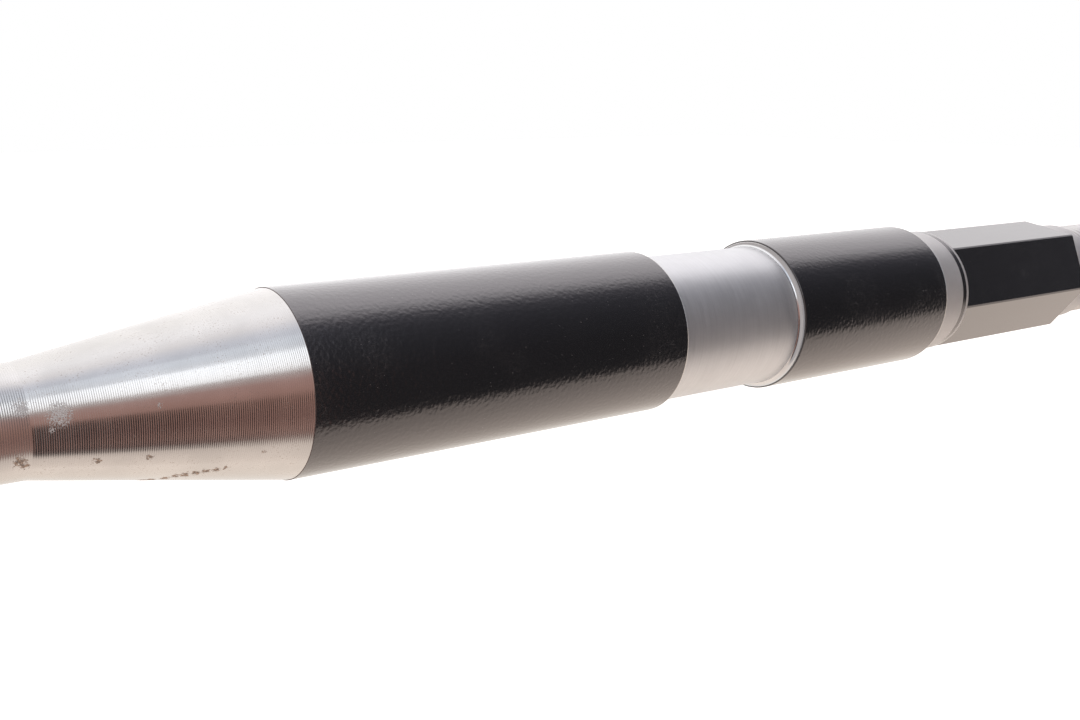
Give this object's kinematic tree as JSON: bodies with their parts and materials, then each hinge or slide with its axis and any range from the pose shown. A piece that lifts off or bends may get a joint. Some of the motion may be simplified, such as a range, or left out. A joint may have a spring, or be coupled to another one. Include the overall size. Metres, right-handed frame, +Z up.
{
  "type": "steering tie rod",
  "caption": "Steering tie rod with an axial ball joint for the rack, a hexagon on a black rod, a lock nut and an outer ball joint with a taper stud.",
  "frame": {"origin": "on the rod's axis, at the shoulder that seats against the steering rack", "axes": "+X along the rod from the rack towards the wheel, +Z up, the outer ball stud points down along -Z"},
  "size_m": [0.4508, 0.0416, 0.0865],
  "materials": {
    "rod_steel": "satin black paint on the barrel, land and hexagon, bare turned steel on the shank, cone, groove, collar and thread",
    "bare_forging": "turned steel",
    "black_forging": "satin black paint on forged steel",
    "zinc_steel": "zinc plated",
    "stud_steel": "ground steel",
    "spring_steel": "tempered spring steel",
    "seat_plastic": "natural acetal",
    "boot_rubber": "matt moulded rubber"
  },
  "bodies": {
    "inner_socket": {"inner_housing": "bare_forging", "inner_disc_spring": "spring_steel"},
    "inner_seat": {"inner_ball_seat": "seat_plastic"},
    "inner_pad": {"inner_thrust_pad": "seat_plastic"},
    "rod_bar": {"rod": "rod_steel"},
    "outer_end": {"outer_housing": "black_forging", "lock_nut": "zinc_steel", "outer_cover": "zinc_steel", "outer_disc_spring": "spring_steel", "dust_boot": "boot_rubber", "boot_housing_ring": "spring_steel"},
    "outer_seat": {"outer_ball_seat": "seat_plastic"},
    "outer_pad": {"outer_thrust_pad": "seat_plastic", "boot_stud_ring": "spring_steel"},
    "stud": {"ball_stud": "stud_steel", "stud_nut": "zinc_steel", "cotter_pin": "zinc_steel"}
  },
  "joints": [
    {"name": "inner_swing_up", "type": "hinge", "parent": "inner_socket", "child": "inner_seat", "pos_m": [0.022, 0, 0], "axis": [0, 1, 0], "range_deg": [-18, 18]},
    {"name": "inner_swing_side", "type": "hinge", "parent": "inner_seat", "child": "inner_pad", "pos_m": [0.022, 0, 0], "axis": [0, 0, 1], "range_deg": [-18, 18]},
    {"name": "rod_turn", "type": "hinge", "parent": "inner_pad", "child": "rod_bar", "pos_m": [0.022, 0, 0], "axis": [1, 0, 0], "continuous": true},
    {"name": "toe_adjust", "type": "slide", "parent": "rod_bar", "child": "outer_end", "axis": [1, 0, 0], "range_m": [-0.012, 0.015]},
    {"name": "stud_swing_side", "type": "hinge", "parent": "outer_end", "child": "outer_seat", "pos_m": [0.412, 0, 0], "axis": [1, 0, 0], "range_deg": [-18, 18], "deforming": ["dust_boot"]},
    {"name": "stud_swing_along", "type": "hinge", "parent": "outer_seat", "child": "outer_pad", "pos_m": [0.412, 0, 0], "axis": [0, 1, 0], "range_deg": [-18, 18], "deforming": ["dust_boot"]},
    {"name": "stud_turn", "type": "hinge", "parent": "outer_pad", "child": "stud", "pos_m": [0.412, 0, 0], "axis": [0, 0, 1], "continuous": true}
  ]
}
